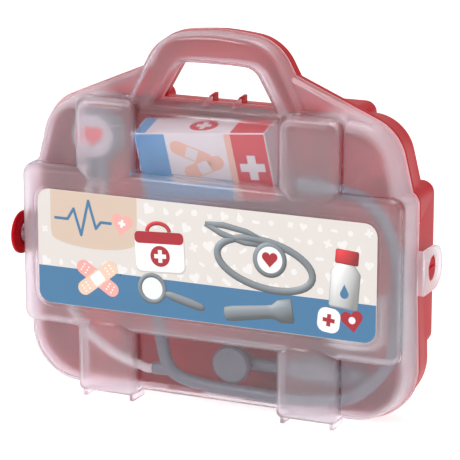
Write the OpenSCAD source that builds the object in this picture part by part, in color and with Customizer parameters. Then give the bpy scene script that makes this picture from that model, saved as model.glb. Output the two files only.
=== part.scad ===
// Toy doctor case: two moulded halves hinged at the bottom, two flexing hasps,
// a printed card on the lid, and the toy instruments packed inside.
// X runs across the case, Y from the lid (-) to the back half (+), Z up; the feet stand on z = 0.

/* [Case] */
// Width of the case at the seam, below the band
body_w = 302; // [290:1:314]
// Depth of the lid over its plain walls
body_d = 21; // [20:0.5:24]
// Depth of the back half over its plain walls
back_body_d = 34; // [32:0.5:37]
// Wall thickness of both halves
wall = 2; // [1.6:0.1:2.4]
// Height of the bottom edge of the seam above the floor
seam_z = 4.2; // [4.2:0.1:5.2]
// Radius of the two bottom corners
corner_r = 40; // [30:1:46]
// Radius of the rounded front edge of the plain walls
front_r = 8; // [5:0.5:10]
// Height of the flat roof
roof_z = 222.5; // [221:0.5:228]
// Radius of the two shoulders
shoulder_r = 34; // [28:1:38]
// Distance from the middle to the centre of a shoulder
shoulder_x = 105.5; // [102:0.5:110]
// Gap between the two halves at the seam
seam_gap = 0.3; // [0.2:0.05:0.5]

/* [Band] */
// How far each end of the raised band lies inside the case's width
band_inset = 1.5; // [0.5:0.5:6]
// Depth of the lid over its raised band
band_d = 33.5; // [31:0.5:36]
// Depth of the back half over its raised band
back_band_d = 44; // [42:0.5:47]
// Lower edge of the band
band_z0 = 52; // [48:1:56]
// Upper edge of the band
band_z1 = 172; // [168:1:174]
// Radius of the corners of the band
band_r = 9; // [6:0.5:12]

/* [Pillars] */
// Distance from the middle to the centre of a pillar
pillar_x = 79; // [74:1:84]
// Width of a pillar
pillar_w = 48; // [40:1:52]
// How far a pillar stands proud of the band
pillar_proud = 1.5; // [1:0.1:2.5]
// Width of the slanted corners at a pillar's end on the band
pillar_chamfer = 10; // [6:0.5:12]

/* [Handle] */
// Height of the top of the handle
handle_top = 275; // [272:1:280]
// Width of the handle bar at its middle
handle_bar = 22.5; // [21:0.5:24]
// How much narrower the legs are than the bar, on each side
handle_slim = 1.8; // [0:0.1:2.4]
// Half the distance between the legs where they leave the roof
handle_leg_x = 58.5; // [56:0.5:60]
// Slant of the legs from upright
handle_slant = 29; // [26:1:31]
// Radius of the bends, on the middle line of the bar
handle_bend = 24; // [20:0.5:26]
// Depth of the handle half on the lid
handle_lid_d = 18; // [14:0.5:20]
// Depth of the handle half on the back
handle_back_d = 14.5; // [12:0.5:16]
// Depth of the thin gables beside the handle
gable_d = 9; // [6:0.5:12]

/* [Feet and hinge] */
// Thickness of a foot fin and of a guide rib
fin_t = 2.4; // [1.8:0.1:3]
// Radius of a hinge eye
eye_r = 1.95; // [1.8:0.05:2.05]
// Radius of a hinge pin
pin_r = 1; // [0.8:0.05:1.1]
// Running clearance round a pin
pin_gap = 0.05; // [0.02:0.01:0.1]
// Length of the lid's eye
lid_eye_l = 12; // [8:1:16]
// Length of each of the back half's eyes
back_eye_l = 7; // [5:1:10]
// Distance from the middle to a hinge
hinge_x = 30; // [22:1:36]

/* [Hasps] */
// Height of the middle of the hasps
hasp_z = 115; // [105:1:125]
// Height of a hasp
hasp_h = 32; // [28:1:36]
// Reach of a hasp past the seam
hasp_reach = 32; // [30:0.5:33]
// Thickness of a hasp
hasp_t = 2; // [1.6:0.1:2.6]
// How far a hasp stands clear of the band
hasp_stand = 5; // [4:0.1:6]
// Radius of the hole in a hasp
hasp_hole_r = 9.8; // [8:0.1:11]
// Distance from the seam to the middle of a hasp hole
catch_y = 13.5; // [12:0.5:16]
// Clearance round the catch in the hasp hole
catch_gap = 1; // [0.6:0.1:2]

/* [Printed card] */
// Width of the card
card_w = 265; // [250:1:272]
// Height of the card
card_h = 86; // [80:1:92]
// Corner radius of the card
card_r = 9.5; // [6:0.5:12]
// Thickness of the card
card_t = 0.4; // [0.3:0.05:0.6]

/* [Carton] */
// Length of the carton, which lies along the case
carton_l = 104; // [96:1:108]
// Width of the carton
carton_w = 54; // [50:1:56]
// Depth of the carton
carton_d = 25; // [22:0.5:25.5]
// Lean of the carton, its top towards the lid
carton_lean = 15; // [12:0.5:16]
// Tilt of the carton, its right end up
carton_tilt = 5; // [3:0.5:6]

/* [Stethoscope] */
// Radius of the headset tube
headset_r = 4.8; // [4:0.1:5]
// Radius of the soft tubes
soft_r = 3.4; // [3:0.1:3.6]
// Radius of the chest piece
chest_r = 21; // [17:0.5:22]
// Thickness of the chest piece
chest_t = 12; // [10:0.5:13]
// Distance between the two stems of the chest piece
stem_gap = 10; // [9:0.5:12]

/* [Hand tools] */
// Radius of the fluted grips
grip_r = 9.5; // [8:0.5:10]
// Length of the fluted grips
grip_l = 52; // [46:1:56]
// Radius of the shafts
shaft_r = 5; // [4:0.5:6]
// Length of the hammer head
head_l = 44; // [38:1:46]
// Radius of the wide end of the ear scope's cone
cone_r = 14.5; // [12:0.5:15]
// Length of the ear scope's cone
cone_l = 26; // [22:0.5:27]

/* [Thermometer] */
// Length of the thermometer
thermo_l = 118; // [105:1:122]
// Width of the thermometer
thermo_w = 15; // [13:0.5:16]
// Thickness of the thermometer
thermo_t = 8; // [6:0.5:9]

/* [Syringe] */
// Length of the barrel
barrel_l = 62; // [55:1:66]
// Outer radius of the barrel
barrel_r = 11; // [10:0.5:11.5]
// Wall of the barrel
barrel_wall = 1.2; // [1:0.1:1.6]
// Radius of the finger flange
flange_r = 14; // [13:0.5:14.5]
// Travel of the plunger
plunger_travel = 22; // [16:1:24]

/* [Pill jar] */
// Radius of the jar
jar_r = 22; // [20:0.5:23]
// Height of the jar without its lid
jar_h = 48; // [42:1:50]
// Wall of the jar
jar_wall = 1.4; // [1:0.1:1.8]
// Height of the jar lid
jar_lid_h = 11; // [9:0.5:12]

/* [Hidden] */

// Colours
red = [0.74, 0.10, 0.12];
frosted = [0.90, 0.82, 0.84, 0.55];
grey = [0.42, 0.46, 0.49];
white = [0.94, 0.94, 0.92];
cream = [0.95, 0.90, 0.87];
soft = [0.93, 0.92, 0.90, 0.8];
pink = [0.93, 0.50, 0.58, 0.7];

// The plain walls' underside lies a little above the pillars'
body_z = seam_z + 0.4;
// All forms start behind the seam and are trimmed to it
behind = -1;

// Draft of the walls from the seam to the front
side_draft = 2.6;
base_draft = 0.5;
upper_draft = 2.4;
band_draft = 2;
// Lower sides lean in a little towards the band
side_taper = 2;
shoulder_z = roof_z - shoulder_r;
upper_lean = 13.65;
pillar_edge = 6;
pillar_z0 = band_z0 + 9;
pillar_z1 = band_z1 - 9.5;
pillar_top = roof_z + 2.5;
rim_w = 1;
rim_d = 2.5;
arc_n = 6;
close = 0.3;

// The middle of the case's depth lies on the plane y = 0, so the seam lies this far in front of it
seam_y = (back_band_d - band_d) / 2;

// Width of the raised band at the seam
band_w = body_w - 2 * band_inset;

// Inner faces of the walls, which the toys lie against
inner_d = body_d - wall;
inner_band_d = back_band_d - wall;

// Hinge axis, set so that the open lid's feet pass under the back half
hinge_z = seam_z / 2;
eye_step = lid_eye_l / 2 + close;

// A hasp's plate stands this far from the middle plane
hasp_x = band_w / 2 + hasp_stand + hasp_t / 2;
hasp_end_r = hasp_h / 2;
hasp_root_x = band_w / 2 + rim_w + close + hasp_t / 2;
hasp_root_y = -(rim_d + hasp_t / 2);
catch_x = hasp_x - hasp_t / 2 - close;
catch_r = hasp_hole_r - catch_gap;

// ---------- outlines, as right halves listed from bottom to top ----------
function arc(c, r, a0, a1, n = arc_n) =
  [for (i = [0:n]) let (a = a0 + (a1 - a0) * i / n) c + r * [cos(a), sin(a)]];
function both(p) = concat(p, [for (i = [len(p) - 1:-1:0]) [-p[i][0], p[i][1]]]);

// g is how far the outline lies inside the full size, t the share of the draft
lower_form = function (g, t)
  let (w = body_w / 2 - g - side_draft * t, z = body_z + g + base_draft * t, r = corner_r - g)
  both(concat(arc([w - r, z + r], r, -90, 0, 7), [[w - side_taper, band_z0 + 60]]));
upper_form = function (g, t)
  let (r = shoulder_r - g - upper_draft * t, z = band_z1 - 22)
  both(concat([[shoulder_x + r / cos(upper_lean) + (shoulder_z - z) * tan(upper_lean), z]],
    arc([shoulder_x, shoulder_z], r, upper_lean, 90, 6)));
band_form = function (g, t)
  let (w = band_w / 2 - g - band_draft * t, r = max(band_r - g, 1), z0 = band_z0 + g, z1 = band_z1 - g)
  both(concat(arc([w - r, z0 + r], r, -90, 0, 4), arc([w - r, z1 - r], r, 0, 90, 4)));
low_pillar_form = function (g, t)
  let (w = pillar_w / 2 - g - t, c = pillar_chamfer - g / 2, z0 = seam_z + g + base_draft * t,
    z1 = pillar_z0 - g, r = 4)
  both(concat(arc([w - r, z0 + r], r, -90, 0, 2), [[w, z1 - 0.75 * c], [w - c, z1]]));
top_pillar_form = function (g, t)
  let (w = pillar_w / 2 - g - t, c = pillar_chamfer - g / 2, z0 = pillar_z1 + g,
    z1 = pillar_top - 2 * g, r = 8 - g / 2)
  both(concat([[w - c, z0], [w, z0 + c]], arc([w - r, z1 - r], r, 0, 90, 4)));

// Point of the shoulder arc where the gable's straight edge starts
gable_a = 67;
gable_foot = [shoulder_x, shoulder_z] + shoulder_r * [cos(gable_a), sin(gable_a)];
// Outer edge of the handle leg at a height
function leg_x(z) = handle_leg_x - (z - roof_z) * tan(handle_slant);
gable_run = gable_foot[0] - leg_x(roof_z + 18);
gable_top = gable_foot + gable_run * [-1, tan(90 - gable_a)];
function gable_form(g) = [[leg_x(roof_z) + 3, roof_z - 6], [gable_foot[0] - g, roof_z - 6],
  gable_foot - g * [cos(gable_a), sin(gable_a)], gable_top - g * [0, 1], [leg_x(gable_top[1]), gable_top[1] - g]];

// Middle line of the handle, right half: leg, bend, then a slight crown over the middle
crown_a = 84;
crown_k = (1 - sin(crown_a)) / cos(crown_a);
bend_reach = leg_x(0) - handle_bend / cos(handle_slant);
bend_z = (handle_top - handle_bar / 2 - handle_bend - crown_k * bend_reach) / (1 - crown_k * tan(handle_slant));
bend_c = [bend_reach - bend_z * tan(handle_slant), bend_z];
crown_r = bend_c[0] / cos(crown_a);
handle_path = both(concat([[leg_x(roof_z - 9), roof_z - 9]], arc(bend_c, handle_bend, handle_slant, crown_a, 4),
  arc(bend_c - crown_r * [cos(crown_a), sin(crown_a)], handle_bend + crown_r, crown_a + 2, 88, 1)));
// Half the bar's width at a point of that line
function bar_r(p) = handle_bar / 2 - handle_slim * min(1, abs(p[0]) / handle_leg_x);

// Every piece is drawn from the seam, then set so that the case stands over the middle of its depth
module centred() translate([0, -seam_y, 0]) children();

// ---------- moulded shapes, built towards the lid's side ----------
function ring(pts, d) = [for (p = pts) [p[0], -d, p[1]]];

// A solid through a stack of outlines with as many points each, from the seam to the front
module loft(rings) {
  n = len(rings[0]);
  m = len(rings);
  polyhedron([for (r = rings, p = r) p], concat([[for (j = [0:n - 1]) j]],
    [for (i = [0:m - 2], j = [0:n - 1]) let (a = i * n + j, b = i * n + (j + 1) % n) [a, a + n, b + n, b]],
    [[for (j = [n - 1:-1:0]) (m - 1) * n + j]]), convexity = 6);
}

// A drafted block with a rounded front edge, from depth "from" to depth d
module moulded(form, d, edge, g, from)
  loft(concat([ring(form(g, 0), from), ring(form(g, 1), d - edge)],
    [for (a = [30, 60, 90]) ring(form(g + edge * (1 - cos(a)), 1), d - edge + edge * sin(a))]));

module puck(p, r, d, edge, from) translate([p[0], 0, p[1]]) rotate([90, 0, 0]) {
  translate([0, 0, from]) cylinder(h = d - edge - from, r = r, $fn = 20);
  translate([0, 0, d - edge * 0.3]) cylinder(h = edge * 0.3, r1 = r - edge * 0.3, r2 = r - edge, $fn = 20);
}

module handle_form(d, g, from) for (i = [0:len(handle_path) - 2]) hull()
  for (p = [handle_path[i], handle_path[i + 1]]) puck(p, bar_r(p) - g, d, 6 - g, from);

module gable(g, from, d) for (s = [0, 1]) mirror([s, 0, 0])
  loft([ring(gable_form(g), from), ring(gable_form(g), d - 1.5), ring(gable_form(g + 1), d)]);

// The whole outer or inner volume of one half
module half_volume(g, plain_d, raised_d, handle_d, from) {
  pillar_d = raised_d + pillar_proud;
  moulded(lower_form, plain_d - g, front_r - g, g, from);
  moulded(upper_form, plain_d - g, front_r + 2 - g, g, from);
  moulded(band_form, raised_d - g, front_r - g, g, from);
  for (s = [-1, 1]) translate([s * pillar_x, 0, 0]) {
    moulded(low_pillar_form, pillar_d - g, pillar_edge - g, g, from);
    moulded(top_pillar_form, pillar_d - g, pillar_edge - g, g, from);
  }
  gable(g, from, gable_d - g);
  handle_form(handle_d - g, g, from);
}

// Flat outline of the seam, for its rim
module seam_outline() {
  polygon(lower_form(0, 0));
  polygon(band_form(0, 0));
  polygon(upper_form(0, 0));
  for (s = [0, 1]) mirror([s, 0]) polygon(gable_form(0));
  for (i = [0:len(handle_path) - 2]) hull() {
    translate(handle_path[i]) circle(r = bar_r(handle_path[i]), $fn = 32);
    translate(handle_path[i + 1]) circle(r = bar_r(handle_path[i + 1]), $fn = 32);
  }
}

module seam_rim() rotate([90, 0, 0]) translate([0, 0, behind]) linear_extrude(rim_d - behind)
  difference() {
    offset(delta = rim_w) seam_outline();
    offset(delta = -wall + 0.2) seam_outline();
    translate([-body_w, -2 * seam_z]) square([2 * body_w, 3 * seam_z + 0.1]);
  }

// Thin fin in a plane across the case; pts are [depth, height]
module fin(x, pts) translate([x - fin_t / 2, 0, 0]) rotate([90, 0, -90]) mirror([0, 0, 1])
  linear_extrude(fin_t) polygon(pts);

module feet(offset_x, front) for (s = [-1, 1], k = [-1, 1])
  fin(s * pillar_x + k * offset_x, [[10, 0], [front - 1, 0], [front, 1], [front, seam_z + 5], [10, seam_z + 1]]);

rib_x = 11.3;
module ribs(depth, h_seam, h_end) for (s = [-1, 1])
  fin(s * rib_x + 2.5, [[behind, roof_z - 1], [depth, roof_z - 1], [depth, roof_z + h_end],
    [behind, roof_z + h_seam]]);

module case_half(plain_d, raised_d, handle_d, foot_x, rib_d, rib_end) {
  difference() {
    union() {
      half_volume(0, plain_d, raised_d, handle_d, behind);
      feet(foot_x, raised_d + pillar_proud - 5);
      ribs(rib_d, 4.5, rib_end);
      seam_rim();
    }
    half_volume(wall, plain_d, raised_d, handle_d, 2 * behind);
    // The halves meet at the seam
    translate([-body_w, -seam_gap / 2, -1]) cube([2 * body_w, 10, 2 * handle_top]);
  }
}

module card_outline(g) polygon(both(concat(
  arc([card_w / 2 + g - card_r, -card_h / 2 - g + card_r], card_r, -90, 0, 6),
  arc([card_w / 2 + g - card_r, card_h / 2 + g - card_r], card_r, 0, 90, 6))));
card_z = (band_z0 + band_z1) / 2;

// Low moulded line that frames the card
module card_frame() rotate([90, 0, 0]) translate([0, card_z, band_d - 0.2]) linear_extrude(0.9)
  difference() {
    card_outline(3.6);
    card_outline(2.4);
  }

module lid_shell() centred() color(frosted) {
  case_half(body_d, band_d, handle_lid_d, 19, 13, 0.5);
  card_frame();
}

module back_shell() centred() color(red) mirror([0, 1, 0])
  case_half(back_body_d, back_band_d, handle_back_d, 15, 10, 5.5);

module label_card() centred() color(cream)
  rotate([90, 0, 0]) translate([0, card_z, band_d]) linear_extrude(card_t) card_outline(0);

// ---------- hinge ----------
module eye(x, l, bore, side) translate([x, 0, hinge_z]) difference() {
  union() {
    rotate([0, 90, 0]) cylinder(h = l, r = eye_r, center = true, $fn = 32);
    translate([-l / 2, side > 0 ? 0.6 : -4.6, 0]) cube([l, 4, body_z - hinge_z + 0.5]);
    translate([-l / 2, side > 0 ? 0 : -4.6, 0]) cube([l, 4.6, eye_r * 0.8]);
  }
  rotate([0, 90, 0]) cylinder(h = l + 2, r = bore, center = true, $fn = 32);
}

module lid_hinge_eyes() centred() color(frosted) for (s = [-1, 1])
  eye(s * hinge_x, lid_eye_l, pin_r + pin_gap, -1);

module back_hinge_eyes() centred() color(red) for (s = [-1, 1], k = [-1, 1])
  eye(s * hinge_x + k * (eye_step + back_eye_l / 2), back_eye_l, pin_r, 1);

module hinge_pins() centred() color(red) for (s = [-1, 1])
  translate([s * hinge_x, 0, hinge_z]) rotate([0, 90, 0])
    cylinder(h = lid_eye_l + 2 * (back_eye_l + close), r = pin_r, center = true, $fn = 32);

// ---------- hasps and their catches, drawn for the lid's hasp on the right ----------
module hasp(web) translate([0, 0, hasp_z]) difference() {
  union() {
    translate([hasp_x - hasp_t / 2, 0, 0]) rotate([90, 0, 90]) linear_extrude(hasp_t) union() {
      translate([hasp_root_y - hasp_t / 2, -hasp_h / 2])
        square([hasp_reach - hasp_end_r - hasp_root_y + hasp_t / 2, hasp_h]);
      translate([hasp_reach - hasp_end_r, 0]) circle(r = hasp_end_r, $fn = 64);
    }
    translate([hasp_root_x, hasp_root_y - hasp_t / 2, -hasp_h / 2])
      cube([hasp_x - hasp_root_x, hasp_t, hasp_h]);
    translate([hasp_root_x, hasp_root_y, 0]) cylinder(h = hasp_h, r = hasp_t / 2, center = true, $fn = 24);
  }
  translate([hasp_x - hasp_t, catch_y, 0]) rotate([0, 90, 0])
    cylinder(h = web > 0 ? 1.5 * hasp_t - web : 2 * hasp_t, r = hasp_hole_r, $fn = 64);
}

module catch_boss() translate([band_w / 2 - 2.2, catch_y, hasp_z]) rotate([0, 90, 0])
  cylinder(h = catch_x - band_w / 2 + 2.2, r1 = catch_r, r2 = catch_r - 1.5, $fn = 48);

module lid_hasp() centred() color(frosted) hasp(0);
// The back half's hasp is closed outside its pocket
module back_hasp() centred() color(red) rotate([0, 0, 180]) hasp(0.8);
module back_catch() centred() color(red) catch_boss();
module lid_catch() centred() color(frosted) rotate([0, 0, 180]) catch_boss();

// ---------- carton ----------
carton_x = -11;
carton_front = -inner_d + 0.6;
carton_top = 203;
module carton() centred() color(white)
  translate([carton_x, carton_front, carton_top]) rotate([0, -carton_tilt, 0]) rotate([carton_lean, 0, 0])
    translate([-carton_l / 2, 0, -carton_w]) difference() {
      cube([carton_l, carton_d, carton_w]);
      // tuck slot of the end flap
      translate([carton_l - 0.6, 1.2, 1]) cube([1, 0.6, carton_w - 2]);
    }

// ---------- tubes ----------
function unit(v) = v / norm(v);
function spline(p, n) = concat([for (i = [0:len(p) - 2], k = [0:n - 1])
  let (t = k / n, a = p[max(i - 1, 0)], b = p[i], c = p[i + 1], d = p[min(i + 2, len(p) - 1)])
  0.5 * ((2 * b) + (c - a) * t + (2 * a - 5 * b + 4 * c - d) * t * t
    + (3 * b - a - 3 * c + d) * t * t * t)], [p[len(p) - 1]]);
function way(p, i) = unit(p[min(i + 1, len(p) - 1)] - p[max(i - 1, 0)]);

module tube(p, r, sides) {
  m = len(p);
  pts = [for (i = [0:m - 1])
    let (u = unit(cross(way(p, i), [0, 1, 0])), v = cross(u, way(p, i)))
    for (j = [0:sides - 1]) p[i] + r * (cos(360 * j / sides) * u + sin(360 * j / sides) * v)];
  skin = [for (i = [0:m - 2], j = [0:sides - 1])
    let (a = i * sides + j, b = i * sides + (j + 1) % sides)
    [a, b, b + sides, a + sides]];
  polyhedron(pts, concat([[for (j = [sides - 1:-1:0]) j]], skin,
    [[for (j = [0:sides - 1]) (m - 1) * sides + j]]), convexity = 8);
}

// Headset: one bent tube from the low ear tip round to the high one
headset_points = [[84, -9, 170], [112, -10, 166], [132, -12, 146], [140, -12, 118], [140, -12, 84],
  [134, -11, 50], [108, -11, 22], [70, -11, 13], [30, -11, 13], [-10, -11, 14.4], [-36, -11, 23],
  [-44, -12, 50], [-46, -14, 80], [-34, -16, 112], [-10, -17, 132], [24, -18, 136], [56, -18, 136]];
headset_line = spline(headset_points, 3);
socket_low = 10;
socket_high = 12;
module headset() centred() color(grey) tube(headset_line, headset_r, 12);

// Short tapered sockets for the soft tubes; each leaves its knot to the left
socket_l = 14;
soft_low_way = unit([-1, 0, -0.05]);
soft_high_way = unit([-1, 0, 0.15]);
module aim(v) rotate([0, acos(v[2] / norm(v)), atan2(v[1], v[0])]) children();
module socket(p, v) translate(p) aim(v) difference() {
  cylinder(h = socket_l, r1 = headset_r, r2 = soft_r + 1.4, $fn = 32);
  translate([0, 0, socket_l - 5]) cylinder(h = 6, r = soft_r + 0.1, $fn = 32);
}
module headset_sockets() centred() color(grey) {
  socket(headset_points[socket_low], soft_low_way);
  socket(headset_points[socket_high], soft_high_way);
}

module ear_tip(p, v) color(grey) translate(p + v * 0.1) aim(v) rotate_extrude($fn = 40)
  polygon(concat([[0, 0], [5.6, 0], [6.4, 3], [5.4, 5], [7.6, 8], [5.8, 10.5]],
    arc([0, 16], 6.8, -40, 80, 6), [[0, 22.8]]));
module ear_tip_low() centred() ear_tip(headset_line[0], -way(headset_line, 0));
module ear_tip_high() centred() ear_tip(headset_line[len(headset_line) - 1], way(headset_line, len(headset_line) - 1));

// Chest piece in the upper left, its face towards the lid
chest_pos = [-98, -5, 192];
stem_l = 16;
stem_end = chest_pos + [0, 0, -chest_r - stem_l + 4];
module chest_body() centred() color(grey) {
  translate(chest_pos) rotate([90, 0, 0]) translate([0, 0, -chest_t / 2]) rotate_extrude($fn = 64)
    polygon([[0, 0], [chest_r - 3, 0], [chest_r, 2.5], [chest_r, 4.5], [chest_r - 3, 6.5],
      [chest_r - 2.2, 7.5], [chest_r - 2.2, chest_t - 2], [chest_r - 4, chest_t], [0, chest_t]]);
  for (s = [-1, 1]) translate(stem_end + [s * stem_gap / 2, 0, 0]) difference() {
    cylinder(h = stem_l, r = soft_r + 1.3, $fn = 32);
    translate([0, 0, -1]) cylinder(h = 6, r = soft_r + 0.1, $fn = 32);
  }
}
face_y = chest_pos[1] - chest_t / 2;
module chest_face() centred() color(white) translate([chest_pos[0], face_y, chest_pos[2]]) rotate([90, 0, 0])
  cylinder(h = 0.8, r = chest_r - 5.5, $fn = 64);
module chest_heart() centred() color(red) translate([chest_pos[0], face_y - 0.8, chest_pos[2]]) rotate([90, 0, 0])
  linear_extrude(0.5) polygon(concat([[0, -7.5]], arc([4, 2.5], 4.4, -38, 150, 8), [[0, 3.8]],
    arc([-4, 2.5], 4.4, 30, 218, 8)));

// Soft tubes from the headset's sockets to the stems of the chest piece
soft_low_points = concat([for (s = [-4.8, 0, 8]) headset_points[socket_low] + soft_low_way * (socket_l + s)],
  [[-84, -11, 30], [-106, -12, 46], [-122, -12, 72], [-126, -12, 104], [-118, -10, 136]],
  [for (s = [-8, 0, 4.8]) stem_end + [-stem_gap / 2, 0, s]]);
soft_high_points = concat([for (s = [-4.8, 0, 8]) headset_points[socket_high] + soft_high_way * (socket_l + s)],
  [[-84, -12, 96], [-94, -9, 122]],
  [for (s = [-8, 0, 4.8]) stem_end + [stem_gap / 2, 0, s]]);
module soft_tube_low() centred() color(soft) tube(spline(soft_low_points, 3), soft_r, 10);
module soft_tube_high() centred() color(soft) tube(spline(soft_high_points, 3), soft_r, 10);

// ---------- hand tools ----------
flute_r = 4;
flute_cut = 1.2;
// Fluted grip with a ball at its foot and a shaft at its head, along +X from the ball
module fluted_handle(shaft_l) rotate([0, 90, 0]) difference() {
  rotate_extrude($fn = 48) polygon(concat([[0, -grip_r + 1]],
    arc([0, 0], grip_r - 0.8, -80, 50, 7), [[grip_r - 2.4, 8], [grip_r - 0.6, 11], [grip_r, 14],
    [grip_r, grip_l - 6], [grip_r - 1.5, grip_l - 1], [shaft_r, grip_l], [shaft_r, grip_l + shaft_l],
    [0, grip_l + shaft_l]]));
  for (a = [30:60:330]) rotate([0, 0, a]) translate([grip_r + flute_r - flute_cut, 0, 15])
    cylinder(h = grip_l - 24, r = flute_r, $fn = 48);
}

hammer_pos = [-22, inner_band_d - close - grip_r, 80];
hammer_shaft = 24;
module hammer_handle() centred() color(grey) translate(hammer_pos) fluted_handle(hammer_shaft);
knob_r = 7.6;
module hammer_head() centred() color(grey)
  translate(hammer_pos + [grip_l + hammer_shaft + 8.7, 0, 0]) rotate_extrude($fn = 48)
    polygon(concat([[0, -head_l / 2]], arc([0, knob_r - head_l / 2], knob_r, -80, 45, 6),
      [[5, -8.4], [7.8, -7.2], [7.8, -5.2], [6, -4], [8.6, -2.6], [8.6, 2.6], [6, 4], [7.8, 5.2],
      [7.8, 7.2], [5, 8.4]], arc([0, head_l / 2 - knob_r], knob_r, -45, 80, 6), [[0, head_l / 2]]));

// Ear scope: it lies against the headset
scope_x = 105;
scope_z = 31.8;
scope_pos = [scope_x, headset_points[7][1] + headset_r + close + grip_r, scope_z];
scope_shaft = 30;
cone_foot_r = 7;
module ear_scope_handle() centred() color(grey) translate(scope_pos) mirror([1, 0, 0]) fluted_handle(scope_shaft);
module ear_scope_head() centred() color(grey)
  translate(scope_pos + [-grip_l - scope_shaft - cone_r + 1.8, cone_l / 2, 0])
    rotate([90, 0, 0]) difference() {
      rotate_extrude($fn = 48) polygon([[0, 0], [cone_foot_r, 0], [cone_foot_r + 1, 1], [cone_foot_r + 2, 4],
        [cone_r - 1.6, cone_l - 6], [cone_r, cone_l - 4], [cone_r, cone_l - 1.5], [cone_r - 1.5, cone_l], [0, cone_l]]);
      translate([0, 0, -1]) cylinder(h = 12, r = 1.8, $fn = 24);
    }

// ---------- thermometer ----------
thermo_pos = [-70, inner_band_d - close - thermo_t, 106];
module thermometer() centred() color(grey) translate(thermo_pos + [0, thermo_t, 0]) rotate([90, 0, 0])
  linear_extrude(thermo_t) polygon(concat(arc([3.4, 0], 3.4, 100, 260, 6),
    [[thermo_l * 0.3, -thermo_w / 2], [thermo_l - 3, -thermo_w / 2]],
    arc([thermo_l - 3, -thermo_w / 2 + 3], 3, -90, 0, 3), arc([thermo_l - 3, thermo_w / 2 - 3], 3, 0, 90, 3),
    [[thermo_l * 0.3, thermo_w / 2]]));
module thermometer_panel() centred() color(white) translate(thermo_pos + [thermo_l * 0.34, 0, 0]) rotate([90, 0, 0])
  linear_extrude(0.5) translate([0, -thermo_w / 2 + 2]) square([thermo_l * 0.56, thermo_w - 4]);

// ---------- syringe, its plunger to the left ----------
syringe_pos = [-8, inner_band_d - close - flange_r, 131];
piston_l = 7;
bore_r = barrel_r - barrel_wall;
module syringe_barrel() centred() color(pink) translate(syringe_pos) rotate([0, 90, 0]) difference() {
  union() {
    cylinder(h = barrel_l, r = barrel_r, $fn = 48);
    cylinder(h = 2, r = flange_r, $fn = 48);
  }
  translate([0, 0, -1]) cylinder(h = barrel_l + 2, r = bore_r, $fn = 48);
}
module syringe_nozzle() centred() color(red) translate(syringe_pos + [barrel_l + 0.1, 0, 0]) rotate([0, 90, 0])
  rotate_extrude($fn = 48) polygon([[0, 0], [barrel_r, 0], [barrel_r, 2], [barrel_r - 2.5, 4],
    [4, 6], [3.4, 11], [2.4, 15], [0, 15.4]]);
module syringe_plunger() centred() color(red) translate(syringe_pos) rotate([0, 90, 0]) {
  translate([0, 0, plunger_travel + 6]) cylinder(h = piston_l, r = bore_r - 0.1, $fn = 48);
  translate([0, 0, -12]) cylinder(h = plunger_travel + 18, r = 4, $fn = 32);
  translate([0, 0, -15]) cylinder(h = 3, r = barrel_r, $fn = 48);
}

// ---------- pill jar ----------
jar_pos = [100, inner_band_d - close - jar_r - 5, band_z0 + wall + close];
module pill_jar() centred() color(white) translate(jar_pos) rotate_extrude($fn = 64) polygon([[0, 0], [jar_r - 1.5, 0],
  [jar_r, 1.5], [jar_r, jar_h - 10], [jar_r - 2, jar_h - 9], [jar_r - 2, jar_h],
  [jar_r - 2 - jar_wall, jar_h], [jar_r - 2 - jar_wall, jar_wall], [0, jar_wall]]);
module pill_jar_lid() centred() color(red) translate(jar_pos + [0, 0, jar_h - 8.6]) rotate_extrude($fn = 64)
  polygon([[jar_r - 1.7, 0], [jar_r + 1, 0], [jar_r + 1, jar_lid_h - 1.5], [jar_r - 0.5, jar_lid_h],
    [0, jar_lid_h], [0, 9], [jar_r - 1.7, 9]]);

back_shell();
back_hinge_eyes();
hinge_pins();
back_hasp();
back_catch();
lid_shell();
lid_hinge_eyes();
lid_hasp();
lid_catch();
label_card();
carton();
headset();
headset_sockets();
ear_tip_low();
ear_tip_high();
soft_tube_low();
soft_tube_high();
chest_body();
chest_face();
chest_heart();
thermometer();
thermometer_panel();
syringe_barrel();
syringe_nozzle();
syringe_plunger();
hammer_handle();
hammer_head();
ear_scope_handle();
ear_scope_head();
pill_jar();
pill_jar_lid();
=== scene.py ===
# Toy doctor case: frosted lid over a red back half, with the toy instruments inside.
import bpy, bmesh, random
from math import sin, cos, tan, pi, radians, sqrt, atan2
from mathutils import Vector, Matrix


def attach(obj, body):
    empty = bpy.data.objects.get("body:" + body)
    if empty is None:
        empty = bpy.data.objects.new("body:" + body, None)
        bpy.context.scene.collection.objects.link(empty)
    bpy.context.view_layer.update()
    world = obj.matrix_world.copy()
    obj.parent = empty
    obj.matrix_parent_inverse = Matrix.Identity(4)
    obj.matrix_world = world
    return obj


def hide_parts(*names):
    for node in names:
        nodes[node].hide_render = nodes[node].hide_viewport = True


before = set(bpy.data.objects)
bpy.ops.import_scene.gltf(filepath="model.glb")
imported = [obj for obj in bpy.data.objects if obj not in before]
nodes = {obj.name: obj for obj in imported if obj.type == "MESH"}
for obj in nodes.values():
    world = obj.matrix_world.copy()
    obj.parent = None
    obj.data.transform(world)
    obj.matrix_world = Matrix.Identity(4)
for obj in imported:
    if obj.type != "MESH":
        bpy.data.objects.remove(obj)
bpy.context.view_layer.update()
mm = 0.001
random.seed(7)


# camera, floor and light
cameraSetup = {"place": (0.73138, -1.59774, 0.58141), "azimuth": 24.4913, "elevation": 14.4713,
               "lens": 196.69, "filmWidth": 36, "farthest": 20}
studio = {"floor": (0.45, 0.45, 0.455), "floorHalf": 6, "floorDrop": 0.0004, "floorGlow": 0.80, "world": 0.68,
          "aim": (0, 0, 0.12),
          # place, size and power of each lamp
          "lamps": [((-0.9, -1.5, 1.5), 0.7, 11), ((1.5, -0.6, 1.2), 0.5, 2), ((0.2, 0.9, 1.7), 0.8, 6)]}


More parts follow.
